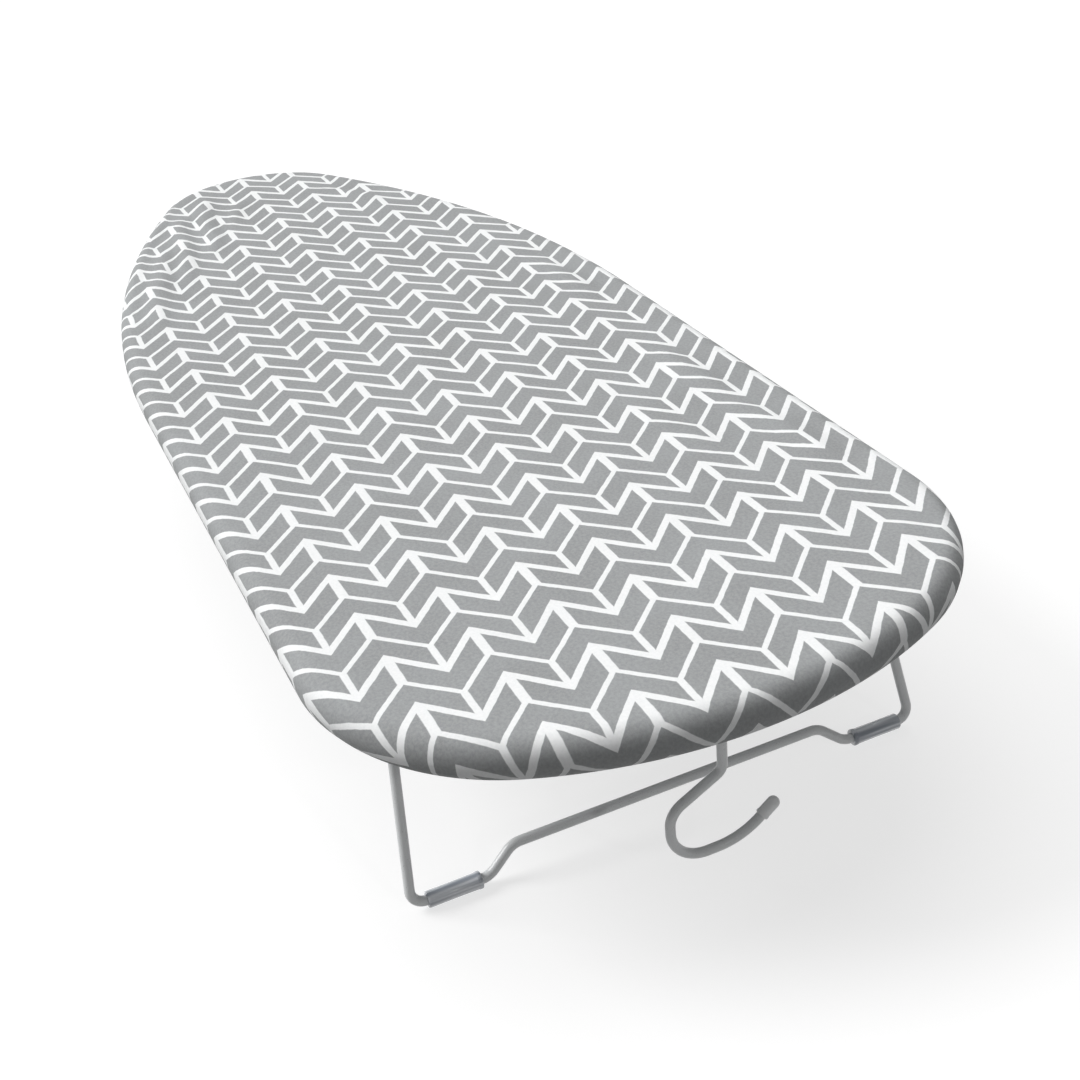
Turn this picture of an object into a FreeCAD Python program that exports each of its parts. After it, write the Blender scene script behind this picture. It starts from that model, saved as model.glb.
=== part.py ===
"""Table-top ironing board with two folding wire legs and a hanging hook.

Frame: +X towards the wide end, +Y across the board, +Z up. The origin is on the table,
under the middle of the board. Millimetres and degrees.
"""
import FreeCAD, Part
import math
import os

import Sketcher

SIZES = {
    # the board as covered
    "board_length": 824, "board_width": 320, "overall_height": 123.5, "edge_depth": 20,
    "taper_start": 395, "side_radius": 735, "corner_radius": 108, "end_radius": 235,
    # cotton cover, with its hem turned under the rim, and the foam pad
    "cover_cloth": 0.8, "top_edge_round": 9, "lower_edge_round": 9, "hem_reach": 30,
    "binding_width": 5, "binding_depth": 3.4, "elastic_width": 3, "elastic_depth": 1.8,
    "pad_thickness": 5,
    # perforated deck and the rolled rim round it
    "deck_inset": 1.8, "deck_sheet": 0.6, "hole_diameter": 11, "hole_pitch": 24,
    "hole_margin": 22, "rim_sheet": 0.9, "rim_flange": 9,
    # pressed crossmembers under the deck
    "member_sheet": 0.9, "member_depth": 9, "crown_width": 26, "member_lip": 9,
    "hook_member_setback": 64, "member_end_gap": 1.5,
    # leg pivots and their brackets
    "wire_diameter": 5, "pivot_drop": 26, "leg_splay": 15.6, "running_gap": 0.05,
    "front_pivot_setback": 110.6, "rear_pivot_setback": 204,
    "bracket_sheet": 1.5, "bracket_width": 20, "bracket_half_length": 12,
    "bracket_reach": 14, "bracket_round": 5, "bracket_hem_gap": 1.5,
    "wire_ear_gap": 1.5, "wire_tail": 4, "stop_pin_diameter": 4, "stop_pin_drop": 11,
    # leg wire below the pivots
    "leg_lean": 6.4, "shoulder_bend": 4, "foot_bend": 6.6, "foot_length": 38.8,
    "crossbar_rise": 11.5, "crossbar_slant": 13.8, "crossbar_bend": 11,
    "sleeve_diameter": 8.5, "sleeve_length": 27, "sleeve_inset": 7.5,
    # hanging hook
    "hook_wire": 4.8, "hook_setback": 35.5, "hook_drop": 27, "hook_pivot_length": 25,
    "hook_pivot_bend": 5, "stem_length": 34.5, "stem_bend": 6, "shoulder_drop": 49,
    "hook_shoulder_bend": 12, "bow_reach": 27, "bow_depth": 77.6, "bow_run": 35.3,
    "bow_heel_bend": 18, "bow_toe_bend": 35, "tip_rise": 38, "tip_length": 21.6,
    "cap_wall": 0.8, "cap_length": 8,
    "hook_bracket_offset": 6.5, "hook_bracket_width": 15, "hook_ear_round": 4,
    "nut_diameter": 9, "nut_thickness": 1.5,
    # rivets
    "rivet_diameter": 4, "rivet_head": 7, "rivet_head_depth": 1.8, "rivet_spacing": 13,
}

doc = FreeCAD.newDocument("ironing_board")
sheet = doc.addObject("Spreadsheet::Sheet", "Sizes")
for row, (alias, number) in enumerate(SIZES.items(), start=1):
    sheet.set(f"A{row}", alias)
    sheet.set(f"B{row}", str(number))
    sheet.setAlias(f"B{row}", alias)
doc.recompute()


class Size:
    """A number and the sheet expression that gives it: one line both draws and binds."""

    def __init__(self, text, value):
        self.text = text
        self.value = value

    def _with(self, sign, other, result):
        return Size(f"({self.text} {sign} {other.text})", result(self.value, other.value))

    def __add__(self, other):
        return self._with("+", as_size(other), lambda a, b: a + b)

    def __sub__(self, other):
        return self._with("-", as_size(other), lambda a, b: a - b)

    def __mul__(self, other):
        return self._with("*", as_size(other), lambda a, b: a * b)

    def __truediv__(self, other):
        return self._with("/", as_size(other), lambda a, b: a / b)

    def __radd__(self, other):
        return as_size(other) + self

    def __rsub__(self, other):
        return as_size(other) - self

    def __rmul__(self, other):
        return as_size(other) * self

    def __neg__(self):
        return as_size(0) - self


def as_size(number):
    return number if isinstance(number, Size) else Size(f"{float(number)}", float(number))


def root(size):
    return Size(f"sqrt({size.text})", math.sqrt(size.value))


def sine(angle):
    return Size(f"sin({angle.text} * 1 deg)", math.sin(math.radians(angle.value)))


def cosine(angle):
    return Size(f"cos({angle.text} * 1 deg)", math.cos(math.radians(angle.value)))


def tangent(angle):
    return Size(f"tan({angle.text} * 1 deg)", math.tan(math.radians(angle.value)))


class Named:
    """The sheet's sizes by their names."""

    def __getattr__(self, alias):
        return Size(f"Sizes.{alias}", float(SIZES[alias]))


s = Named()

# Levels and places that several pieces share
top = s.overall_height
bottom = top - s.edge_depth
deck_top = top - s.cover_cloth - s.pad_thickness
deck_bottom = deck_top - s.deck_sheet
member_bottom = deck_bottom - s.member_depth
nose_x = -s.board_length / 2
end_x = s.board_length / 2
taper_x = nose_x + s.taper_start
front_x = end_x - s.front_pivot_setback
rear_x = nose_x + s.rear_pivot_setback
pivot_z = top - s.pivot_drop
hook_x = end_x - s.hook_setback
hook_z = top - s.hook_drop
hook_member_x = end_x - s.hook_member_setback
leg_length = (pivot_z - s.sleeve_diameter / 2) / cosine(s.leg_splay)


# ---------------------------------------------------------------- building blocks
def bind(item, path, size):
    """Binds one property of a document object to the sheet."""
    item.setExpression(path, size.text)


def new_body(label):
    body = doc.addObject("PartDesign::Body", label)
    body.Label = label
    return body


def new_sketch(body, plane, offset=as_size(0)):
    """A sketch on one of the body's own origin planes, moved along that plane's normal."""
    sketch = body.newObject("Sketcher::SketchObject", f"{body.Name}_sketch")
    face = next(f for f in body.Origin.OriginFeatures if f.Role == plane)
    sketch.AttachmentSupport = [(face, "")]
    sketch.MapMode = "FlatFace"
    sketch.AttachmentOffset = FreeCAD.Placement(FreeCAD.Vector(0, 0, offset.value), FreeCAD.Rotation())
    bind(sketch, "AttachmentOffset.Base.z", offset)
    return sketch


def dimension(sketch, kind, *where, size):
    """A driving dimension whose value comes from the sheet."""
    index = sketch.addConstraint(Sketcher.Constraint(kind, *where, size.value))
    bind(sketch, f"Constraints[{index}]", size)


def fix_point(sketch, geometry, position, at):
    dimension(sketch, "DistanceX", geometry, position, size=at[0])
    dimension(sketch, "DistanceY", geometry, position, size=at[1])


def vector(at):
    return FreeCAD.Vector(at[0].value, at[1].value, 0)


def polygon(sketch, corners):
    """A closed polygon through corners, each a pair of sizes or numbers."""
    corners = [(as_size(x), as_size(y)) for x, y in corners]
    for start, end in zip(corners, corners[1:] + corners[:1]):
        sketch.addGeometry(Part.LineSegment(vector(start), vector(end)))
    for index, corner in enumerate(corners):
        sketch.addConstraint(Sketcher.Constraint("Coincident", index, 2, (index + 1) % len(corners), 1))
        fix_point(sketch, index, 1, corner)


def circle(sketch, at, diameter):
    at = (as_size(at[0]), as_size(at[1]))
    index = sketch.addGeometry(
        Part.Circle(vector(at), FreeCAD.Vector(0, 0, 1), diameter.value / 2)
    )
    fix_point(sketch, index, 3, at)
    dimension(sketch, "Radius", index, size=diameter / 2)


def bent_path(sketch, corners, bends):
    """An open run of straight lines through corners, with a tangent arc at each inner one."""
    corners = [(as_size(x), as_size(y)) for x, y in corners]
    points = [vector(corner) for corner in corners]
    marks = [sketch.addGeometry(Part.Point(point), True) for point in points]
    for mark, corner in zip(marks, corners):
        fix_point(sketch, mark, 1, corner)
    ends = [points[0]]
    arcs = []
    for before, here, after, bend in zip(points, points[1:], points[2:], bends):
        inward = (here - before).normalize()
        outward = (after - here).normalize()
        turn = inward.cross(outward).z
        angle = math.acos(max(-1, min(1, inward.dot(outward))))
        setback = bend.value * math.tan(angle / 2)
        start = here - inward * setback
        end = here + outward * setback
        side = FreeCAD.Vector(-inward.y, inward.x, 0) * math.copysign(bend.value, turn)
        arcs.append((start + side, start, end, turn > 0, bend))
        ends += [start, end]
    ends.append(points[-1])
    lines = [
        sketch.addGeometry(Part.LineSegment(a, b)) for a, b in zip(ends[0::2], ends[1::2])
    ]
    for index, line in enumerate(lines):
        for mark, position in ((marks[index], 1), (marks[index + 1], 2)):
            outer = mark in (marks[0], marks[-1])
            if outer:
                sketch.addConstraint(Sketcher.Constraint("Coincident", line, position, mark, 1))
            else:
                sketch.addConstraint(Sketcher.Constraint("PointOnObject", mark, 1, line))
    for index, (centre, start, end, left, bend) in enumerate(arcs):
        first, last = (start, end) if left else (end, start)
        angles = [math.atan2(p.y - centre.y, p.x - centre.x) for p in (first, last)]
        if angles[1] < angles[0]:
            angles[1] += 2 * math.pi
        ring = Part.Circle(centre, FreeCAD.Vector(0, 0, 1), bend.value)
        arc = sketch.addGeometry(Part.ArcOfCircle(ring, *angles))
        near, far = (1, 2) if left else (2, 1)
        sketch.addConstraint(Sketcher.Constraint("Tangent", lines[index], 2, arc, near))
        sketch.addConstraint(Sketcher.Constraint("Tangent", arc, far, lines[index + 1], 1))
        dimension(sketch, "Radius", arc, size=bend)


def pad(body, sketch, length, both_ways=False):
    feature = body.newObject("PartDesign::Pad", f"{body.Name}_pad")
    feature.Profile = sketch
    feature.Midplane = both_ways
    feature.Length = length.value
    bind(feature, "Length", length)
    return feature


def pocket(body, sketch, length, both_ways=False, reverse=False):
    feature = body.newObject("PartDesign::Pocket", f"{body.Name}_pocket")
    feature.Profile = sketch
    feature.Midplane = both_ways
    feature.Reversed = reverse
    feature.Length = length.value
    bind(feature, "Length", length)
    return feature


def fillet(body, base, edges, radius):
    feature = body.newObject("PartDesign::Fillet", f"{body.Name}_fillet")
    feature.Base = (base, edges)
    feature.Radius = radius.value
    bind(feature, "Radius", radius)
    return feature


def edges_at(shape, level):
    """The names of the edges that lie wholly at one height."""
    return [
        f"Edge{number}" for number, edge in enumerate(shape.Edges, start=1)
        if edge.BoundBox.ZLength < 1e-6 and abs(edge.BoundBox.ZMin - level) < 1e-6
    ]


def upright_edges(shape, x, z):
    """The names of the edges along Y through the point x, z."""
    return [
        f"Edge{number}" for number, edge in enumerate(shape.Edges, start=1)
        if all(abs(v.X - x) < 1e-6 and abs(v.Z - z) < 1e-6 for v in edge.Vertexes)
    ]


def place(item, x=None, y=None, z=None):
    """Moves an object to a place worked out from the sheet."""
    spot = [as_size(value or 0) for value in (x, y, z)]
    item.Placement.Base = FreeCAD.Vector(*(value.value for value in spot))
    for axis, value in zip("xyz", spot):
        bind(item, f"Placement.Base.{axis}", value)


def turn(item, axis, angle):
    item.Placement.Rotation = FreeCAD.Rotation(FreeCAD.Vector(*axis), angle.value)
    bind(item, "Placement.Rotation.Angle", angle)


def cut(label, base, tool):
    result = doc.addObject("Part::Cut", label)
    result.Label = label
    result.Base = base
    result.Tool = tool
    return result


def grouped(label, items):
    """Identical fasteners, kept as separate solids in one node."""
    result = doc.addObject("Part::Compound", label)
    result.Label = label
    result.Links = items
    return result


# ---------------------------------------------------------------- the board's outline
class Outline:
    """The arcs of the board's edge, moved inwards by an inset: nose, sides, corners, end."""

    def __init__(self, inset):
        self.half = s.board_width / 2 - inset
        self.side = s.side_radius - inset
        self.corner = s.corner_radius - inset
        self.end = s.end_radius - inset
        reach = s.taper_start - inset
        squares = self.half * self.half + reach * reach
        self.nose = (2 * self.side * self.half - squares) / (2 * (self.side - reach))
        self.nose_x = nose_x + inset + self.nose
        self.end_x = end_x - s.end_radius
        self.corner_y = self.half - self.corner
        step = self.end - self.corner
        self.corner_x = self.end_x + root(step * step - self.corner_y * self.corner_y)
        self.side_angle = math.atan2(
            (self.side - self.half).value, (self.nose_x - taper_x).value
        )
        self.corner_angle = math.atan2(
            self.corner_y.value, (self.corner_x - self.end_x).value
        )

    def half_width(self, x):
        """Half the width at x, as the arc or line there gives it."""
        if x.value < self.nose_x.value + self.nose.value * math.cos(self.side_angle):
            run = self.nose_x - x
            return root(self.nose * self.nose - run * run)
        if x.value < taper_x.value:
            run = taper_x - x
            return self.half - self.side + root(self.side * self.side - run * run)
        if x.value < self.corner_x.value:
            return self.half
        if x.value < self.corner_x.value + self.corner.value * math.cos(self.corner_angle):
            run = x - self.corner_x
            return self.corner_y + root(self.corner * self.corner - run * run)
        run = x - self.end_x
        return root(self.end * self.end - run * run)


def ring_arc(x, y, radius, start, stop):
    ring = Part.Circle(vector((as_size(x), as_size(y))), FreeCAD.Vector(0, 0, 1), radius.value)
    return Part.ArcOfCircle(ring, start, stop)


def outline(sketch, inset):
    """Nose arc, side arcs, straight sides, corner arcs and a bowed wide end."""
    o = Outline(inset)
    quarter = math.pi / 2
    lean, spread = o.side_angle, o.corner_angle
    left, right = (
        Part.LineSegment(vector((first, y)), vector((last, y)))
        for first, last, y in ((o.corner_x, taper_x, o.half), (taper_x, o.corner_x, -o.half))
    )
    sketch.addGeometry([
        ring_arc(o.end_x, 0, o.end, -spread, spread),
        ring_arc(o.corner_x, o.corner_y, o.corner, spread, quarter),
        left,
        ring_arc(taper_x, o.half - o.side, o.side, quarter, lean),
        ring_arc(o.nose_x, 0, o.nose, lean, 4 * quarter - lean),
        ring_arc(taper_x, o.side - o.half, o.side, 4 * quarter - lean, 3 * quarter),
        right,
        ring_arc(o.corner_x, -o.corner_y, o.corner, 3 * quarter, 4 * quarter - spread),
    ])
    for piece in range(8):
        sketch.addConstraint(Sketcher.Constraint("Tangent", piece, 2, (piece + 1) % 8, 1))
    for line, taper_end, y in ((2, 2, o.half), (6, 1, -o.half)):
        sketch.addConstraint(Sketcher.Constraint("Horizontal", line))
        fix_point(sketch, line, taper_end, (taper_x, y))
    radii = ((0, o.end), (1, o.corner), (3, o.side), (4, o.nose), (5, o.side), (7, o.corner))
    for piece, radius in radii:
        dimension(sketch, "Radius", piece, size=radius)
    sketch.addConstraint(Sketcher.Constraint("PointOnObject", 0, 3, -1))
    dimension(sketch, "DistanceX", 0, 3, size=o.end_x)


def slab(label, inset, low, high):
    """A flat body of the board's outline between two levels."""
    body = new_body(label)
    sketch = new_sketch(body, "XY_Plane", low)
    outline(sketch, inset)
    pad(body, sketch, high - low)
    doc.recompute()
    return body


def rounded_slab(label, inset, low, high, low_round, high_round=None):
    body = slab(label, inset, low, high)
    for level, radius in ((low, low_round), (high, high_round)):
        if radius:
            fillet(body, body.Tip, edges_at(body.Shape, level.value), radius)
            doc.recompute()
    return body


# ---------------------------------------------------------------- cover, hem and pad
def build_cover_and_pad():
    cloth = s.cover_cloth
    form = rounded_slab("cover_form", as_size(0), bottom, top, s.lower_edge_round, s.top_edge_round)
    hollow = rounded_slab(
        "cover_hollow", cloth, bottom + cloth, top - cloth,
        s.lower_edge_round - cloth, s.top_edge_round - cloth,
    )
    mouth = slab("cover_mouth", s.hem_reach, bottom - 1, bottom + s.edge_depth / 2)
    skin = cut("cover_skin", form, hollow)
    cover = cut("cotton_cover", skin, mouth)

    layer = slab("pad_layer", as_size(0), deck_top, top)
    foam = doc.addObject("Part::Common", "foam_pad")
    foam.Label = "foam_pad"
    foam.Base = hollow
    foam.Tool = layer
    return [cover, foam]


def ring(label, inset, width, low, high):
    body = slab(label, inset, low, high)
    sketch = new_sketch(body, "XY_Plane", low)
    outline(sketch, inset + width)
    pocket(body, sketch, high - low, reverse=True)
    doc.recompute()
    return body


def build_hem():
    side_wall = (s.binding_width - s.elastic_width) / 2
    floor = (s.binding_depth - s.elastic_depth) / 2
    elastic = ring(
        "hem_elastic", s.hem_reach + side_wall, s.elastic_width,
        bottom + floor, bottom + floor + s.elastic_depth,
    )
    tape = ring("hem_tape", s.hem_reach, s.binding_width, bottom, bottom + s.binding_depth)
    return [cut("hem_binding", tape, elastic), elastic]


# ---------------------------------------------------------------- deck and rim
def hole_centres():
    """Staggered rows of holes, as far out as the margin inside the outline allows."""
    pitch = s.hole_pitch.value
    row_gap = pitch * math.sqrt(3) / 2
    rows = int((s.board_width / 2).value / row_gap)
    columns = int((s.board_length / 2).value / pitch)
    limit = Outline(s.hole_margin)
    reach = (s.board_length / 2 - s.hole_margin).value
    for row in range(-rows, rows + 1):
        for column in range(-columns, columns + 1):
            x = (column + 0.5 * (row % 2)) * pitch
            y = row * row_gap
            if abs(x) < reach and abs(y) < limit.half_width(as_size(x)).value:
                yield x, y


def build_deck():
    body = new_body("perforated_deck")
    sketch = new_sketch(body, "XY_Plane", deck_bottom)
    outline(sketch, s.deck_inset)
    radius = (s.hole_diameter / 2).value
    holes = [
        Part.Circle(FreeCAD.Vector(x, y, 0), FreeCAD.Vector(0, 0, 1), radius)
        for x, y in hole_centres()
    ]
    sketch.addGeometry(holes)
    pad(body, sketch, s.deck_sheet)
    return [body]


def build_rim():
    """A rolled steel channel that opens inwards, under the deck's edge."""
    low = bottom + s.cover_cloth
    wall = s.rim_sheet
    outer_round = s.lower_edge_round - s.deck_inset
    blank = rounded_slab("rim_blank", s.deck_inset, low, deck_bottom, outer_round)
    channel = rounded_slab(
        "rim_channel", s.deck_inset + wall, low + wall, deck_bottom - wall, outer_round - wall
    )
    mouth = slab("rim_mouth", s.deck_inset + s.rim_flange, low - 1, deck_bottom + 1)
    return [cut("rim_frame", cut("rim_section", blank, channel), mouth)]


# ---------------------------------------------------------------- crossmembers
def rim_to_rim(x):
    """Half the length of a crossmember that reaches the rim's flange, clear of its edge."""
    lip = s.crown_width / 2 + s.member_lip
    inside = Outline(s.deck_inset + s.rim_flange)
    ends = [inside.half_width(x - lip), inside.half_width(x + lip)]
    return min(ends, key=lambda size: size.value) - s.member_end_gap


def build_crossmember(label, x, rivets):
    """A pressed hat section across the board, its lips welded up against the deck."""
    body = new_body(label)
    sketch = new_sketch(body, "XZ_Plane")
    crown = s.crown_width / 2
    lip = crown + s.member_lip
    sheet_gauge = s.member_sheet
    drop = -s.member_depth
    polygon(sketch, [
        (-lip, 0), (-crown + sheet_gauge, 0), (-crown + sheet_gauge, drop + sheet_gauge),
        (crown - sheet_gauge, drop + sheet_gauge), (crown - sheet_gauge, 0), (lip, 0),
        (lip, -sheet_gauge), (crown, -sheet_gauge), (crown, drop),
        (-crown, drop), (-crown, -sheet_gauge), (-lip, -sheet_gauge),
    ])
    pad(body, sketch, 2 * rim_to_rim(x), both_ways=True)
    if rivets:
        holes = new_sketch(body, "XY_Plane", drop)
        for at in rivets:
            circle(holes, at, s.rivet_diameter)
        pocket(body, holes, sheet_gauge, reverse=True)
    place(body, x=x, z=deck_bottom)
    return body


def build_rivet(label, x, y):
    """A domed rivet that clamps a bracket's base to the crown of a crossmember."""
    body = new_body(label)
    sketch = new_sketch(body, "XZ_Plane")
    shank = s.rivet_diameter / 2
    head = s.rivet_head / 2
    depth = s.rivet_head_depth
    grip = s.member_sheet + s.bracket_sheet
    polygon(sketch, [
        (0, -depth), (head * 0.55, -depth), (head, -depth * 0.35), (head, 0), (shank, 0),
        (shank, grip), (head * 0.8, grip), (head * 0.8, grip + depth * 0.6),
        (0, grip + depth * 0.6),
    ])
    spin = body.newObject("PartDesign::Revolution", f"{label}_turned")
    spin.Profile = sketch
    spin.ReferenceAxis = (sketch, ["V_Axis"])
    spin.Angle = 360
    place(body, x=x, y=y, z=member_bottom - s.bracket_sheet)
    return body


# ---------------------------------------------------------------- legs
def build_bracket(label, x, y):
    """A folded steel bracket: a base plate and two ears with the pivot and stop-pin holes."""
    body = new_body(label)
    long_half = s.bracket_half_length
    base = pivot_z - member_bottom
    ears = new_sketch(body, "XZ_Plane")
    polygon(ears, [
        (-long_half, -base), (-long_half, -s.bracket_reach),
        (long_half, -s.bracket_reach), (long_half, -base),
    ])
    circle(ears, (0, 0), s.wire_diameter + 2 * s.running_gap)
    side = 1 if x is front_x else -1
    pin_x, pin_z = stop_pin_place(side)
    circle(ears, (pin_x, pin_z), s.stop_pin_diameter)
    pad(body, ears, s.bracket_width, both_ways=True)
    doc.recompute()
    corners = [
        name for end in (-1, 1)
        for name in upright_edges(body.Shape, end * long_half.value, -s.bracket_reach.value)
    ]
    fillet(body, body.Tip, corners, s.bracket_round)
    gap = new_sketch(body, "YZ_Plane")
    clear = s.bracket_width / 2 - s.bracket_sheet
    ceiling = -base - s.bracket_sheet
    polygon(gap, [
        (-clear, -s.bracket_reach - 1), (clear, -s.bracket_reach - 1),
        (clear, ceiling), (-clear, ceiling),
    ])
    pocket(body, gap, 4 * long_half, both_ways=True)
    holes = new_sketch(body, "XY_Plane", ceiling)
    for end in (-0.5, 0.5):
        circle(holes, (end * s.rivet_spacing, 0), s.rivet_diameter)
    pocket(body, holes, s.bracket_sheet, reverse=True)
    place(body, x=x, y=y, z=pivot_z)
    return body


def stop_pin_place(side):
    """From the pivot: on the outer side of the opened leg, just touching its wire."""
    drop = s.stop_pin_drop
    offset = s.wire_diameter / 2 + s.stop_pin_diameter / 2 + s.running_gap
    out = drop * sine(s.leg_splay) + offset * cosine(s.leg_splay)
    down = offset * sine(s.leg_splay) - drop * cosine(s.leg_splay)
    return side * out, down


def build_stop_pin(label, x, y, end):
    """A pin through both ears of a bracket that the opened leg leans against."""
    body = new_body(label)
    sketch = new_sketch(body, "XZ_Plane")
    circle(sketch, (0, 0), s.stop_pin_diameter)
    overhang = s.wire_ear_gap + s.wire_diameter
    length = s.bracket_width + overhang
    pad(body, sketch, length, both_ways=True)
    out, down = stop_pin_place(1 if x is front_x else -1)
    place(body, x=x + out, y=end * (y + overhang / 2), z=pivot_z + down)
    return body


def place_on_leg(body, x):
    """The leg's own frame: origin on the pivot line, -Z down the splayed leg."""
    place(body, x=x, z=pivot_z)
    turn(body, (0, -1, 0) if x is front_x else (0, 1, 0), s.leg_splay)


def build_leg(name, x, bracket_y, wire_y):
    """One bent wire with a pivot at each end, and a soft sleeve on each foot."""
    foot_y = wire_y + leg_length * tangent(s.leg_lean)
    inner_y = bracket_y - s.bracket_width / 2 - s.wire_tail
    slant_y = foot_y - s.foot_length
    wire = new_body(f"{name}_leg_wire")
    path = new_sketch(wire, "YZ_Plane")
    half = [
        (inner_y, as_size(0)), (wire_y, as_size(0)), (foot_y, -leg_length),
        (slant_y, -leg_length), (slant_y - s.crossbar_slant, s.crossbar_rise - leg_length),
    ]
    bends = [s.shoulder_bend, s.foot_bend, s.crossbar_bend, s.crossbar_bend]
    bent_path(path, [(-y, z) for y, z in half] + half[::-1], bends + bends[::-1])
    section = new_sketch(wire, "XZ_Plane", inner_y)
    circle(section, (0, 0), s.wire_diameter)
    sweep = wire.newObject("PartDesign::AdditivePipe", f"{name}_leg_sweep")
    sweep.Profile = section
    sweep.Spine = path
    place_on_leg(wire, x)

    parts = [wire]
    for side, end in (("left", 1), ("right", -1)):
        sleeve = new_body(f"{name}_foot_sleeve_{side}")
        middle = foot_y - s.sleeve_inset - s.sleeve_length / 2
        tube = new_sketch(sleeve, "XZ_Plane", -end * middle)
        for diameter in (s.sleeve_diameter, s.wire_diameter):
            circle(tube, (0, -leg_length), diameter)
        pad(sleeve, tube, s.sleeve_length, both_ways=True)
        place_on_leg(sleeve, x)
        parts.append(sleeve)
    return parts


def build_leg_group(name, x, hem_half):
    """A crossmember with its two brackets, rivets, stop pins and leg."""
    bracket_y = hem_half - s.bracket_hem_gap - s.bracket_width / 2
    wire_y = bracket_y + s.bracket_width / 2 + s.wire_ear_gap + s.wire_diameter / 2
    spots = [
        (along * s.rivet_spacing, end * bracket_y) for along in (-0.5, 0.5) for end in (-1, 1)
    ]
    parts = [build_crossmember(f"{name}_crossmember", x, spots)]
    parts.append(build_bracket(f"{name}_bracket_left", x, bracket_y))
    parts.append(build_bracket(f"{name}_bracket_right", x, -bracket_y))
    rivets = [
        build_rivet(f"{name}_rivet_{number}", x + along, across)
        for number, (along, across) in enumerate(spots)
    ]
    parts.append(grouped(f"{name}_bracket_rivets", rivets))
    pins = [
        build_stop_pin(f"{name}_pin_{number}", x, bracket_y, end)
        for number, end in enumerate((-1, 1))
    ]
    parts.append(grouped(f"{name}_stop_pins", pins))
    return parts + build_leg(name, x, bracket_y, wire_y)


# ---------------------------------------------------------------- hook
def hook_corners():
    """Across and up from the hook's hinge: pivot, stem, shoulder, heel, toe and tip."""
    toe_y = s.bow_run - s.bow_reach
    return [
        (s.hook_pivot_length, as_size(0)), (as_size(0), as_size(0)), (as_size(0), -s.stem_length),
        (-s.bow_reach, -s.shoulder_drop), (-s.bow_reach, -s.bow_depth), (toe_y, -s.bow_depth),
        (
            toe_y + s.tip_length * cosine(s.tip_rise),
            s.tip_length * sine(s.tip_rise) - s.bow_depth,
        ),
    ]


def build_hook():
    hook = new_body("hanging_hook")
    path = new_sketch(hook, "YZ_Plane")
    corners = hook_corners()
    bends = [
        s.hook_pivot_bend, s.stem_bend, s.hook_shoulder_bend, s.bow_heel_bend, s.bow_toe_bend,
    ]
    bent_path(path, corners, bends)
    section = new_sketch(hook, "XZ_Plane", -s.hook_pivot_length)
    circle(section, (0, 0), s.hook_wire)
    sweep = hook.newObject("PartDesign::AdditivePipe", "hook_sweep")
    sweep.Profile = section
    sweep.Spine = path
    place(hook, x=hook_x, z=hook_z)

    cap = new_body("hook_tip_cap")
    outside = s.hook_wire / 2 + s.cap_wall
    inside = s.hook_wire / 2
    half_section = new_sketch(cap, "XZ_Plane")
    polygon(half_section, [
        (inside, -s.cap_length), (outside, -s.cap_length), (outside, 0),
        (outside * 0.86, outside * 0.5), (outside * 0.5, outside * 0.86), (0, outside),
        (0, 0), (inside, 0),
    ])
    spin = cap.newObject("PartDesign::Revolution", "cap_turned")
    spin.Profile = half_section
    spin.ReferenceAxis = (half_section, ["V_Axis"])
    spin.Angle = 360
    tip_y, tip_z = corners[-1]
    place(cap, x=hook_x, y=tip_y, z=hook_z + tip_z)
    turn(cap, (-1, 0, 0), 90 - s.tip_rise)

    nut = new_body("hook_push_nut")
    washer = new_sketch(nut, "XZ_Plane")
    for diameter in (s.nut_diameter, s.hook_wire):
        circle(washer, (0, 0), diameter)
    pad(nut, washer, s.nut_thickness, both_ways=True)
    outer_face = s.hook_bracket_offset + s.hook_bracket_width + s.running_gap
    place(nut, x=hook_x, y=outer_face + s.nut_thickness / 2, z=hook_z)
    return [hook, cap, nut]


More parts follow.
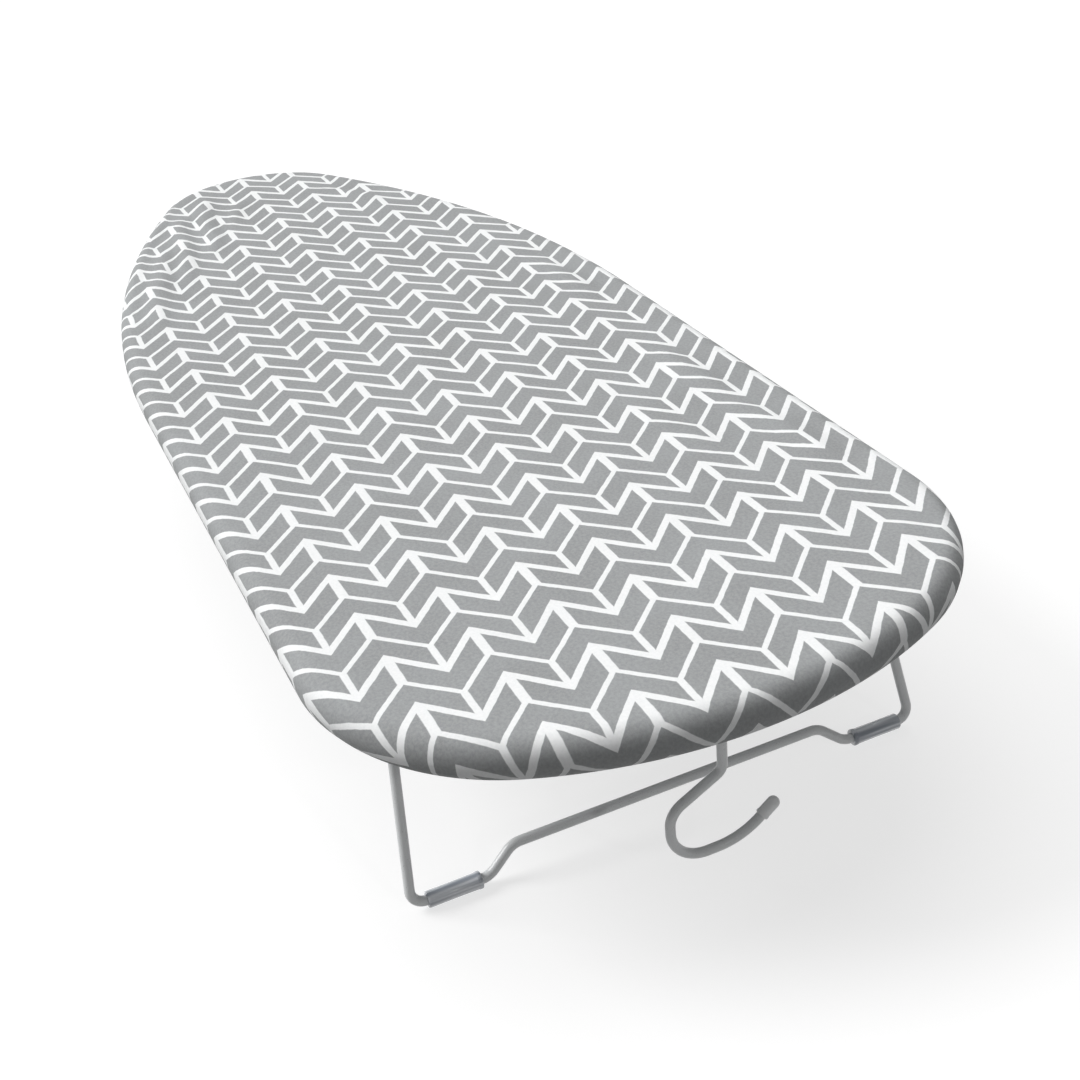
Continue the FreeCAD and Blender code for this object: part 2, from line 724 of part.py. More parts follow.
def build_hook_mounting():
    """The end crossmember and the bracket that carries the hook's hinge under the hem."""
    middle = s.hook_bracket_offset + s.hook_bracket_width / 2
    spots = [(along * s.rivet_spacing, middle) for along in (-0.5, 0.5)]
    member = build_crossmember("hook_crossmember", hook_member_x, spots)

    bracket = new_body("hook_bracket")
    back = hook_member_x - s.crown_width / 2 - hook_x
    step = hook_member_x + s.crown_width / 2 - hook_x
    base = member_bottom - hook_z
    under_hem = bottom - hook_z - s.bracket_hem_gap
    nose = s.hook_wire / 2 + 2 * s.bracket_sheet
    profile = new_sketch(bracket, "XZ_Plane")
    polygon(profile, [
        (back, base), (back, under_hem), (back + nose, -nose), (nose, -nose),
        (nose, under_hem), (step + nose, under_hem), (step, base),
    ])
    circle(profile, (0, 0), s.hook_wire + 2 * s.running_gap)
    pad(bracket, profile, s.hook_bracket_width, both_ways=True)
    doc.recompute()
    rounded = upright_edges(bracket.Shape, nose.value, -nose.value)
    rounded += upright_edges(bracket.Shape, nose.value, under_hem.value)
    fillet(bracket, bracket.Tip, rounded, s.hook_ear_round)
    gap = new_sketch(bracket, "YZ_Plane", back - 1)
    clear = s.hook_bracket_width / 2 - s.bracket_sheet
    polygon(gap, [
        (-clear, -2 * nose), (clear, -2 * nose),
        (clear, base - s.bracket_sheet), (-clear, base - s.bracket_sheet),
    ])
    pocket(bracket, gap, 2 * nose - back, reverse=True)
    holes = new_sketch(bracket, "XY_Plane", base - s.bracket_sheet)
    for along, _ in spots:
        circle(holes, (hook_member_x - hook_x + along, 0), s.rivet_diameter)
    pocket(bracket, holes, s.bracket_sheet, reverse=True)
    place(bracket, x=hook_x, y=middle, z=hook_z)

    rivets = [
        build_rivet(f"hook_rivet_{number}", hook_member_x + along, across)
        for number, (along, across) in enumerate(spots)
    ]
    return [member, bracket, grouped("hook_bracket_rivets", rivets)]


# ---------------------------------------------------------------- assembly
def build_all():
    pieces = build_cover_and_pad() + build_hem() + build_deck() + build_rim()
    inside_hem = Outline(s.hem_reach + s.binding_width)
    front_hem = inside_hem.half_width(front_x + s.bracket_half_length)
    rear_hem = inside_hem.half_width(rear_x - s.bracket_half_length)
    pieces += build_leg_group("front", front_x, front_hem)
    pieces += build_leg_group("rear", rear_x, rear_hem)
    pieces.append(build_crossmember("middle_crossmember", (front_x + rear_x) / 2, []))
    pieces += build_hook_mounting() + build_hook()
    return pieces


def check(pieces):
    """Stops on anything that failed to build."""
    faults = [
        item.Label for item in doc.Objects
        if "Invalid" in item.State or "Error" in item.State
    ]
    faults += [
        piece.Label for piece in pieces
        if piece.Shape.isNull() or not piece.Shape.isValid() or not piece.Shape.Solids
    ]
    if faults:
        raise RuntimeError(f"not built: {sorted(set(faults))}")


parts = build_all()
doc.recompute()
check(parts)
os.makedirs("parts", exist_ok=True)
for part in parts:
    part.Shape.exportStep(f"parts/{part.Label}.step")
    print(f"{part.Label}: {len(part.Shape.Solids)} solid, {part.Shape.Volume:.1f} mm3")
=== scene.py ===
"""Finish and soft parts of a table-top ironing board.

Metres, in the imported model's frame: +X towards the wide end, +Y across, +Z up.
"""
import math

import bpy
import numpy as np
from mathutils import Euler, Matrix, Quaternion, Vector, noise


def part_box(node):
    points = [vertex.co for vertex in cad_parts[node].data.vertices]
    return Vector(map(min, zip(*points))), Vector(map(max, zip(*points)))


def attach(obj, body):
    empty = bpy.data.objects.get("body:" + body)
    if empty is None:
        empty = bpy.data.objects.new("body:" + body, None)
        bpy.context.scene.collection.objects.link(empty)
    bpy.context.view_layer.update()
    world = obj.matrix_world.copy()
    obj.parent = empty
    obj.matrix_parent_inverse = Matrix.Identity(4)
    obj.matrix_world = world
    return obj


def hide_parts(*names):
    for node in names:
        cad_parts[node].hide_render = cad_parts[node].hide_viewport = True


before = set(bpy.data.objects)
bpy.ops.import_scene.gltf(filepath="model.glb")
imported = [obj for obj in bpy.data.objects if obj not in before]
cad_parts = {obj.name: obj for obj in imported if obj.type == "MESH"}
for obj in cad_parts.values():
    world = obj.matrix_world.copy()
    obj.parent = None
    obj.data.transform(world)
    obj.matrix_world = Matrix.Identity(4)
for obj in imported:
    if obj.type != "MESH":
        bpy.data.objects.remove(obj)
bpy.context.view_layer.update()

# ---------------------------------------------------------------- the board's sizes
COVER_LOW, COVER_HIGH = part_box("cotton_cover")
NOSE_X, END_X = COVER_LOW.x, COVER_HIGH.x
HALF_WIDTH = COVER_HIGH.y
TOP, BOTTOM = COVER_HIGH.z, COVER_LOW.z
TAPER_START = 0.395
SIDE_RADIUS = 0.735
CORNER_RADIUS = 0.108
END_RADIUS = 0.235
TOP_ROUND = 0.009
LOWER_ROUND = 0.010

# the cover's cloth, and how finely its edge and its tape are divided
CLOTH = 0.0006
STEP_ROUND = 0.0027
TAPE_STEP = 0.0018
FLAT_RINGS = 24
RING_GAP = 0.003
HEM_LOW, HEM_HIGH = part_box("hem_binding")
HEM_REACH = HALF_WIDTH - HEM_HIGH.y
TAPE_DEPTH = HEM_HIGH.z - HEM_LOW.z
TAPE_WIDTH = 0.005
STITCH_PITCH = 0.0028
# waves that add up to the hem's gathers: how many round the board, size and phase
GATHERS = [(173, 0.5, 0.3), (211, 0.35, 1.9), (131, 0.3, 4.0), (47, 0.25, 2.2)]
PUCKERS = 403

# the flat top is ringed from its edge in to this inset, then to a line along the middle
SPINE_INSET = 0.06
SPINE_FROM_NOSE = 0.09
SPINE_FROM_END = 0.115

# the pad lies this far under the cloth
PAD_GAP = 0.0012

# spot welds along the lips of the crossmembers
WELD_SHEET = 0.0009
WELD_PITCH = 0.038
WELD_LIP = 0.0045
WELD_FROM_END = 0.012

# the print: zigzags across the board, joined by bars
REPEAT_ACROSS = 0.03965
REPEAT_ALONG = 0.03901
PRINT_X = 0.14805
PRINT_Y = -0.00452
PRINT_TURN = 0.0041
PRINT_EDGE = 0.008
# the print sits askew towards the nose: how far, from where to where
SKEW = (-0.0050, 0.0063)
SKEW_FROM, SKEW_TO = -0.06, -0.35
# where the print sits off an even repeat, set by measure: middle, reach, how far
DRAWN = [(0.175, 0.100, (0.0033, -0.0008)), (-0.135, 0.115, (0.0032, 0.0004))]

# the simulated cloth on top: its grid, its load and how far it may move
GRID = 0.004
PRESSURE = 0.15
HELD_EDGE = 0.013
LAST_FRAME = 20
MOST_RISE = 0.0024
MOST_SINK = 0.0005
MOST_SLIDE = 0.004
# rounds of averaging that smooth the folds, and that find the swell to take away
FOLD_ROUNDS = 1
SWELL_ROUNDS = 50
FOLD_GAIN = 1.7

# lamps: name, turn in degrees, strength and spread in degrees
LAMPS = [
    ("near_side", (40, -37, 0), 2.3, 28),
    ("overhead", (0, -28, 0), 1.5, 60),
    ("front", (-13, 60, 0), 0.18, 4),
]
AMBIENT = 0.20
CAMERA_PLACE = (0.8377, -0.2541, 0.5002)
CAMERA_AIM = (0.2523, -0.0254, 0.1235)
CAMERA_ROLL = -5.918
CAMERA_LENS = 51.47


# ---------------------------------------------------------------- shading kit
class Shade:
    """One output socket. Arithmetic on shades adds Math nodes to their material."""

    def __init__(self, finish, socket):
        self.finish = finish
        self.socket = socket

    def maths(self, operation, *others):
        return self.finish.maths(operation, self, *others)

    def __add__(self, other):
        return self.maths("ADD", other)

    def __sub__(self, other):
        return self.maths("SUBTRACT", other)

    def __mul__(self, other):
        return self.maths("MULTIPLY", other)

    def __truediv__(self, other):
        return self.maths("DIVIDE", other)

    def __radd__(self, other):
        return self + other

    def __rsub__(self, other):
        return self.finish.maths("SUBTRACT", other, self)

    def __rmul__(self, other):
        return self * other

    def __abs__(self):
        return self.maths("ABSOLUTE")


class Finish:
    """A material on one Principled shader. node() adds any node to it."""

    def __init__(self, name, **constants):
        self.material = bpy.data.materials.new(name)
        self.material.use_nodes = True
        self.tree = self.material.node_tree
        self.shader = next(n for n in self.tree.nodes if n.type == "BSDF_PRINCIPLED")
        for socket, value in constants.items():
            self.shader.inputs[socket.replace("_", " ")].default_value = value

    def node(self, kind, settings=None, inputs=None, output=0):
        """Adds a node: its settings first, then values or links for its sockets."""
        made = self.tree.nodes.new(kind)
        for name, value in (settings or {}).items():
            setattr(made, name, value)
        for socket, value in (inputs or {}).items():
            self.feed(made.inputs[socket], value)
        return Shade(self, made.outputs[output])

    def feed(self, socket, value):
        if isinstance(value, Shade):
            self.tree.links.new(value.socket, socket)
        else:
            socket.default_value = value

    def set(self, socket, value):
        """Links something that varies over the surface to the shader."""
        self.feed(self.shader.inputs[socket], value)

    def maths(self, operation, *values):
        return self.node("ShaderNodeMath", {"operation": operation}, dict(enumerate(values)))

    def solid_place(self):
        """The point on the object, in the board's frame."""
        return self.node("ShaderNodeTexCoord", output="Object")

    def cut_place(self):
        """The point's place on its cloth laid flat, which lofted() stored."""
        return self.node("ShaderNodeAttribute", {"attribute_name": "cut"}, output="Vector")

    def parts(self, place):
        split = self.node("ShaderNodeSeparateXYZ", inputs={0: place}).socket.node
        return [Shade(self, socket) for socket in split.outputs]

    def stretched(self, place, scale):
        return self.node(
            "ShaderNodeVectorMath", {"operation": "MULTIPLY"}, {0: place, 1: scale}
        )

    def noise(self, place, scale, detail=2.0, roughness=0.5):
        inputs = {"Vector": place, "Scale": scale, "Detail": detail, "Roughness": roughness}
        return self.node("ShaderNodeTexNoise", inputs=inputs)

    def step(self, value, low, high):
        """0 below low, 1 above high, and a smooth rise between."""
        inputs = {"Value": value, "From Min": low, "From Max": high}
        return self.node("ShaderNodeMapRange", {"interpolation_type": "SMOOTHSTEP"}, inputs)

    def mix(self, share, first, second):
        """A colour between first and second."""
        inputs = {0: share, 6: first, 7: second}
        return self.node("ShaderNodeMix", {"data_type": "RGBA"}, inputs, output=2)

    def bump(self, height, distance, strength=1.0, under=None):
        inputs = {"Height": height, "Distance": distance, "Strength": strength}
        if under:
            inputs["Normal"] = under
        return self.node("ShaderNodeBump", inputs=inputs)


def colour(red, green, blue):
    return (red, green, blue, 1.0)


# ---------------------------------------------------------------- finishes
def zigzag(cotton, swing, along, peak, valley, width):
    """A zigzag line of the print, at peak where swing is 0 and at valley where it is 1."""
    off = cotton.maths("FRACT", along - swing * (valley - peak) - (peak - 0.5)) - 0.5
    return 1 - cotton.step(abs(off), width / 2 - PRINT_EDGE, width / 2 + PRINT_EDGE)


def bar(cotton, across, along, first, last, width):
    """A short line along the board from one zigzag to the next."""
    near = 1 - cotton.step(abs(across), width / 2 - 0.0003, width / 2 + 0.0003)
    between = cotton.maths("LESS_THAN", cotton.maths("FRACT", along - first), last - first)
    return near * between


def white_lines(cotton, place):
    """Where the print leaves the cloth white."""
    x, y, _ = cotton.parts(place)
    wander_x = cotton.noise(place, 240, 2) - 0.5
    wander_y = cotton.noise(place, 171, 2) - 0.5
    along = (x + y * PRINT_TURN + wander_x * 0.0007 - PRINT_X) / REPEAT_ALONG
    lattice_y = y - x * PRINT_TURN + wander_y * 0.0007
    turn = cotton.maths("FRACT", (lattice_y - PRINT_Y) / REPEAT_ACROSS)
    from_valley = turn - 0.5
    swing = 1 - abs(from_valley) * 2
    from_peak = swing * (REPEAT_ACROSS / 2)
    lines = [
        zigzag(cotton, swing, along, 0.011, 0.577, 0.136),
        zigzag(cotton, swing, along, 0.545, 1.065, 0.094),
        bar(cotton, from_peak, along, 0.011, 0.57, 0.0047),
        bar(cotton, from_valley * REPEAT_ACROSS, along, 0.06, 0.55, 0.0033),
    ]
    white = lines[0]
    for line in lines[1:]:
        white = cotton.maths("MAXIMUM", white, line)
    return white


def weave(cloth, place, pitch):
    """The height of a plain weave: threads over and under each other."""
    turns = 2 * math.pi / pitch
    x, y, _ = cloth.parts(place)
    warp = cloth.maths("SINE", x * turns)
    weft = cloth.maths("SINE", y * turns)
    return warp * weft * 0.5 + 0.5


def printed_cotton():
    cotton = Finish("printed_cotton", Specular_IOR_Level=0.25, Sheen_Weight=0.12)
    cotton.shader.inputs["Sheen Roughness"].default_value = 0.6
    place = cotton.cut_place()
    white = white_lines(cotton, place)
    threads = cotton.noise(cotton.stretched(place, (0.35, 1, 1)), 1900, 1)
    cross_threads = cotton.noise(cotton.stretched(place, (1, 0.35, 1)), 1900, 1)
    slubs = threads * 0.5 + cross_threads * 0.5
    heather = cotton.step(cotton.noise(place, 620, 3, 0.7), 0.3, 0.7)
    cloudy = cotton.step(cotton.noise(place, 17, 3, 0.6), 0.3, 0.7)
    uneven = slubs * 0.4 + heather * 0.6
    ink = cotton.mix(uneven, colour(0.255, 0.262, 0.265), colour(0.375, 0.384, 0.388))
    worn = cotton.mix(uneven, colour(0.29, 0.30, 0.305), colour(0.40, 0.412, 0.418))
    ink = cotton.mix(cloudy, ink, worn)
    bare = cotton.mix(uneven, colour(0.84, 0.855, 0.86), colour(0.94, 0.945, 0.945))
    cotton.set("Base Color", cotton.mix(white, ink, bare))
    cotton.set("Roughness", 0.8 + slubs * 0.18)
    grain = cotton.bump(weave(cotton, place, 0.00055) + slubs, 0.00012, 0.5)
    cotton.set("Normal", grain)
    return cotton.material


def hem_tape():
    tape = Finish("hem_tape", Specular_IOR_Level=0.3)
    place = tape.cut_place()
    along, across, _ = tape.parts(place)
    twill = tape.maths("SINE", (along + across) * (2 * math.pi / 0.0009))
    fibre = tape.noise(place, 2600, 2)
    grime = tape.noise(place, 30, 3)
    pale = tape.mix(fibre, colour(0.62, 0.62, 0.60), colour(0.78, 0.78, 0.76))
    tape.set("Base Color", tape.mix(grime * 0.5, pale, colour(0.55, 0.55, 0.53)))
    tape.set("Roughness", 0.7 + fibre * 0.25)
    tape.set("Normal", tape.bump(twill * 0.5 + fibre, 0.00015, 0.6))
    return tape.material


def sewing_thread():
    thread = Finish("sewing_thread", Specular_IOR_Level=0.4)
    place = thread.solid_place()
    twist = thread.noise(place, 4000, 1)
    thread.set("Base Color", thread.mix(twist, colour(0.6, 0.6, 0.6), colour(0.85, 0.85, 0.84)))
    thread.set("Roughness", 0.5 + twist * 0.3)
    return thread.material


def elastic_braid():
    braid = Finish("elastic_braid", Specular_IOR_Level=0.3)
    place = braid.solid_place()
    ribs = braid.noise(place, 1500, 2)
    braid.set("Base Color", braid.mix(ribs, colour(0.6, 0.6, 0.58), colour(0.82, 0.82, 0.8)))
    braid.set("Roughness", 0.7 + ribs * 0.25)
    braid.set("Normal", braid.bump(ribs, 0.0003))
    return braid.material


def foam():
    sponge = Finish("foam", Specular_IOR_Level=0.2)
    place = sponge.solid_place()
    cells = sponge.node(
        "ShaderNodeTexVoronoi", {"feature": "F1"}, {"Vector": place, "Scale": 900}
    )
    stain = sponge.noise(place, 25, 3)
    fresh = sponge.mix(cells, colour(0.62, 0.60, 0.52), colour(0.80, 0.78, 0.70))
    sponge.set("Base Color", sponge.mix(stain * 0.4, fresh, colour(0.62, 0.57, 0.44)))
    sponge.set("Roughness", 0.85 + cells * 0.15)
    sponge.set("Normal", sponge.bump(cells, 0.0005, 0.8))
    return sponge.material


def paint(name, dark, light, gloss):
    """Sprayed enamel on steel: faint orange peel, dust and rubbed spots."""
    enamel = Finish(name, Specular_IOR_Level=0.5, Coat_Roughness=0.25)
    place = enamel.solid_place()
    cloudy = enamel.noise(place, 60, 3)
    peel = enamel.noise(place, 700, 2)
    specks = enamel.step(enamel.noise(place, 2400, 1), 0.68, 0.74)
    base = enamel.mix(cloudy, dark, light)
    enamel.set("Base Color", enamel.mix(specks * 0.5, base, colour(0.2, 0.2, 0.2)))
    enamel.set("Roughness", gloss + cloudy * 0.12)
    enamel.set("Coat Weight", 0.25 + cloudy * 0.2)
    enamel.set("Normal", enamel.bump(peel, 0.0002, 0.35))
    return enamel.material


def zinc_plate():
    zinc = Finish("zinc_plate", Specular_IOR_Level=0.5)
    place = zinc.solid_place()
    spangle = zinc.node(
        "ShaderNodeTexVoronoi", {"feature": "F1"}, {"Vector": place, "Scale": 350}, "Color"
    )
    tone = zinc.parts(spangle)[0]
    dull = zinc.noise(place, 120, 3)
    zinc.set("Base Color", zinc.mix(tone, colour(0.50, 0.51, 0.52), colour(0.70, 0.71, 0.72)))
    zinc.set("Metallic", 0.85 + dull * 0.15)
    zinc.set("Roughness", 0.28 + dull * 0.25)
    zinc.set("Normal", zinc.bump(dull + tone * 0.3, 0.0001, 0.4))
    return zinc.material


def vinyl(name, dark, light, gloss):
    """Soft moulded plastic with lengthwise flow marks, painted light and dark as highlight streaks,
    and a little dust.
    """
    plastic = Finish(name, Specular_IOR_Level=0.6, Coat_Roughness=0.1)
    place = plastic.solid_place()
    streak_noise = plastic.noise(plastic.stretched(place, (1, 0.04, 1)), 420, 1)
    flow_and_highlight = plastic.step(streak_noise, 0.36, 0.66)
    dust = plastic.noise(place, 1800, 2)
    # the light lengthwise streaks in the base colour are painted highlights
    plastic.set("Base Color", plastic.mix(flow_and_highlight, dark, light))
    plastic.set("Roughness", gloss + dust * 0.15)
    plastic.set("Coat Weight", 0.5 + flow_and_highlight * 0.3)
    plastic.set("Normal", plastic.bump(flow_and_highlight, 0.00015, 0.4))
    return plastic.material


def floor_finish():
    ground = Finish("pale_floor", Specular_IOR_Level=0.1, Emission_Strength=0.68)
    place = ground.solid_place()
    mottle = ground.noise(place, 3, 2)
    pale = ground.mix(mottle, colour(0.36, 0.36, 0.36), colour(0.38, 0.38, 0.38))
    ground.set("Base Color", pale)
    ground.set("Roughness", 0.8 + mottle * 0.1)
    return ground.material


# ---------------------------------------------------------------- mesh helpers
def outline(step):
    """Points about step apart round the board's edge, and the way out at each.

    Every arc keeps its centre as the outline moves in or out, so a ring at another inset
    is the points moved along their ways out.
    """
    reach = TAPER_START
    half, side = HALF_WIDTH, SIDE_RADIUS
    nose = (2 * side * half - half * half - reach * reach) / (2 * (side - reach))
    nose_x = NOSE_X + nose
    taper_x = NOSE_X + reach
    end_x = END_X - END_RADIUS
    corner_y = half - CORNER_RADIUS
    corner_x = end_x + math.sqrt((END_RADIUS - CORNER_RADIUS) ** 2 - corner_y ** 2)
    lean = math.atan2(side - half, nose_x - taper_x)
    spread = math.atan2(corner_y, corner_x - end_x)
    quarter = math.pi / 2
    upper = [
        ((end_x, 0), END_RADIUS, 0, spread),
        ((corner_x, corner_y), CORNER_RADIUS, spread, quarter),
        ((corner_x, taper_x), half, quarter, quarter),
        ((taper_x, half - side), side, quarter, lean),
        ((nose_x, 0), nose, lean, 2 * quarter),
    ]
    points, ways = [], []
    for centre, radius, start, stop in upper:
        straight = start == stop
        length = abs(centre[0] - centre[1]) if straight else radius * (stop - start)
        for share in np.arange(round(length / step)) / round(length / step):
            angle = start + (stop - start) * share
            way = np.array((math.cos(angle), math.sin(angle)))
            if straight:
                point = np.array((centre[0] + (centre[1] - centre[0]) * share, radius))
            else:
                point = np.array(centre) + radius * way
            points.append(point)
            ways.append(way)
    points.append(np.array((NOSE_X, 0.0)))
    ways.append(np.array((-1.0, 0.0)))
    mirror = np.array((1, -1))
    lower = slice(-2, 0, -1)
    points = np.array(points + [p * mirror for p in points[lower]])
    ways = np.array(ways + [w * mirror for w in ways[lower]])
    return points, ways


def lengths_round(points):
    """How far each point is round the closed line, and the whole length."""
    gaps = np.linalg.norm(np.roll(points, -1, axis=0) - points, axis=1)
    return np.concatenate([[0], np.cumsum(gaps)[:-1]]), gaps.sum()


def spine(points, ways):
    """The middle line's own point for each point of the edge."""
    inner = points - ways * SPINE_INSET
    x = np.clip(inner[:, 0], NOSE_X + SPINE_FROM_NOSE, END_X - SPINE_FROM_END)
    return np.stack([x, np.zeros_like(x)], axis=1)


def with_height(flat, height):
    return np.column_stack([flat, np.broadcast_to(height, len(flat))])


def from_points(name, points, faces):
    mesh = bpy.data.meshes.new(name)
    mesh.from_pydata(points, [], faces)
    mesh.shade_smooth()
    piece = bpy.data.objects.new(name, mesh)
    bpy.context.scene.collection.objects.link(piece)
    return piece


def lofted(name, rings, cuts=None, merge_first=False, merge_last=False, close=False):
    """A smooth mesh through rings of points, each ring closed round the board."""
    count = len(rings[0])
    points, index, start = [], [], 0
    for number, ring in enumerate(rings):
        merged = merge_first and number == 0 or merge_last and number == len(rings) - 1
        if merged:
            kept, first, where = np.unique(
                ring.round(6), axis=0, return_index=True, return_inverse=True
            )
            where = where.ravel()
            points.append(ring[first])
        else:
            where, first = np.arange(count), np.arange(count)
            points.append(ring)
        if cuts is not None:
            cuts[number] = cuts[number][first]
        index.append(where + start)
        start += len(first)
    if close:
        index.append(index[0])
    faces = []
    for low, high in zip(index, index[1:]):
        for here in range(count):
            there = (here + 1) % count
            corners = dict.fromkeys((low[here], low[there], high[there], high[here]))
            if len(corners) > 2:
                faces.append([int(corner) for corner in corners])
    piece = from_points(name, np.concatenate(points).tolist(), faces)
    if cuts is not None:
        own = piece.data.attributes.new("cut", "FLOAT_VECTOR", "POINT")
        flat = with_height(np.concatenate(cuts), 0)
        own.data.foreach_set("vector", flat.astype(np.float32).ravel())
    return piece


def bake_map(piece):
    """Lays the piece's cloth out flat on one square."""
    mesh = piece.data
    flat = np.empty(len(mesh.vertices) * 3)
    mesh.attributes["cut"].data.foreach_get("vector", flat)
    flat = flat.reshape(-1, 3)[:, :2]
    flat = (flat - flat.min(axis=0)) / np.ptp(flat, axis=0)
    corner = np.empty(len(mesh.loops), int)
    mesh.loops.foreach_get("vertex_index", corner)
    layer = mesh.uv_layers.new(name="OFBake")
    layer.data.foreach_set("uv", flat[corner].astype(np.float32).ravel())


def turned(name, profile, centre, axis, segments=40):
    """A piece turned on an axis. The profile holds pairs of distance along it and radius."""
    turn = Vector((0, 0, 1)).rotation_difference(Vector(axis))
    points, faces = [], []
    for along, radius in profile:
        for number in range(segments):
            angle = 2 * math.pi * number / segments
            spot = Vector((radius * math.cos(angle), radius * math.sin(angle), along))
            points.append(turn @ spot + Vector(centre))
    for ring in range(len(profile) - 1):
        for number in range(segments):
            here, there = number, (number + 1) % segments
            low, high = ring * segments, (ring + 1) * segments
            faces.append((low + here, low + there, high + there, high + here))
    return from_points(name, points, faces)


def dressed(piece, material, body="board"):
    piece.data.materials.clear()
    piece.data.materials.append(material)
    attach(piece, body)
    return piece


def smooth_rise(value, low, high):
    share = np.clip((value - low) / (high - low), 0, 1)
    return share * share * (3 - 2 * share)


# ---------------------------------------------------------------- cover
# slack pushed into the cloth round its edge: the spot, how far it moves, over what length
PUSHES = [
    ((-0.330, -0.100), (0.0010, 0.0032), 0.050),
    ((-0.250, -0.130), (0.0006, 0.0036), 0.055),
    ((-0.170, -0.145), (0.0002, 0.0026), 0.050),
    ((-0.395, -0.030), (0.0026, 0.0006), 0.040),
    ((-0.345, 0.090), (0.0008, -0.0018), 0.045),
    ((-0.050, 0.155), (0.0004, -0.0018), 0.050),
    ((0.130, 0.160), (0.0003, -0.0021), 0.050),
    ((0.230, 0.160), (-0.0008, -0.0020), 0.045),
    ((0.355, 0.135), (-0.0012, 0.0022), 0.065),
]
# folds that the simulation starts from: two ends, half width and height
FOLDS = [
    ((-0.370, -0.040), (-0.240, -0.062), 0.0070, 0.0022),
    ((-0.350, -0.064), (-0.200, -0.088), 0.0070, 0.0026),
    ((-0.310, -0.088), (-0.170, -0.112), 0.0070, 0.0022),
    ((-0.235, -0.112), (-0.130, -0.128), 0.0065, 0.0020),
    ((-0.345, -0.015), (-0.290, -0.036), 0.0065, 0.0014),
    ((-0.335, 0.052), (-0.280, 0.078), 0.0070, 0.0014),
    ((-0.085, 0.122), (-0.010, 0.130), 0.0070, 0.0014),
    ((0.090, 0.122), (0.165, 0.128), 0.0070, 0.0016),
    ((0.175, 0.120), (0.255, 0.136), 0.0070, 0.0016),
    ((0.165, 0.078), (0.210, 0.090), 0.0065, 0.0010),
]


def pushed(cut):
    """How far points of the flat cut are pushed."""
    moved = np.zeros_like(cut)
    for spot, push, length in PUSHES:
        offset = (cut - np.array(spot)) / length
        moved += np.exp(-np.sum(offset ** 2, axis=1))[:, None] * np.array(push)
    return moved


def folded(points):
    """The height of the folds, and of the cloth's own unevenness, at points of the cut."""
    height = np.array([noise.noise(Vector((x * 22, y * 22, 3.1))) for x, y in points]) * 0.0006
    wander = np.array([noise.noise(Vector((x * 17, y * 17, 8.4))) for x, y in points])
    for first, last, width, rise in FOLDS:
        first, last = np.array(first), np.array(last)
        run = last - first
        share = ((points - first) @ run) / (run @ run)
        across = (points - first) @ np.array((-run[1], run[0])) / np.linalg.norm(run)
        across += wander * 0.005
        taper = np.exp(-(np.abs(share - 0.5) * 2.0) ** 4)
        height += rise * taper * np.exp(-(across / width) ** 2)
    return height


def inside_edge(points, edge):
    """How far points are inside the closed edge line."""
    gap = np.full(len(points), 1e9)
    inside = np.zeros(len(points), bool)
    for start, end in zip(edge, np.roll(edge, -1, axis=0)):
        run = end - start
        share = np.clip((points - start) @ run / (run @ run), 0, 1)
        gap = np.minimum(gap, np.linalg.norm(points - start - share[:, None] * run, axis=1))
        if start[1] != end[1]:
            crossed = (start[1] > points[:, 1]) != (end[1] > points[:, 1])
            at = start[0] + (points[:, 1] - start[1]) / run[1] * run[0]
            inside ^= crossed & (points[:, 0] < at)
    return np.where(inside, gap, -gap)


def evened(level, rounds):
    """A table of heights, averaged with its neighbours so many times."""
    for _ in range(rounds):
        beside = sum(np.roll(level, way, axis) for way in (-1, 1) for axis in (0, 1))
        level = level * 0.5 + beside * 0.125
    return level


def buckled(trial, flat, held_points):
    """Where a trial piece of cloth ends up, when its rest shape is its flat cut."""
    trial.shape_key_add(name="placed")
    rest = trial.shape_key_add(name="cut")
    rest.data.foreach_set("co", flat.ravel())
    held = trial.vertex_groups.new(name="held")
    held.add(held_points.tolist(), 1.0, "REPLACE")
    cloth = trial.modifiers.new("cloth", "CLOTH")
    cloth.collision_settings.use_collision = False
    settings = cloth.settings
    settings.vertex_group_mass = "held"
    settings.rest_shape_key = rest
    settings.quality = 8
    settings.mass = 0.02
    settings.tension_stiffness = 60
    settings.compression_stiffness = 60
    settings.shear_stiffness = 20
    settings.bending_stiffness = 1.0
    settings.use_pressure = True
    settings.uniform_pressure_force = PRESSURE
    settings.effector_weights.gravity = 0
    scene = bpy.context.scene
    for number in range(1, LAST_FRAME + 1):
        scene.frame_set(number)
    result = trial.evaluated_get(bpy.context.evaluated_depsgraph_get()).to_mesh()
    ended = np.empty(len(flat) * 3)
    result.vertices.foreach_get("co", ended)
    scene.frame_set(1)
    mesh = trial.data
    bpy.data.objects.remove(trial)
    bpy.data.meshes.remove(mesh)
    return ended.reshape(-1, 3)


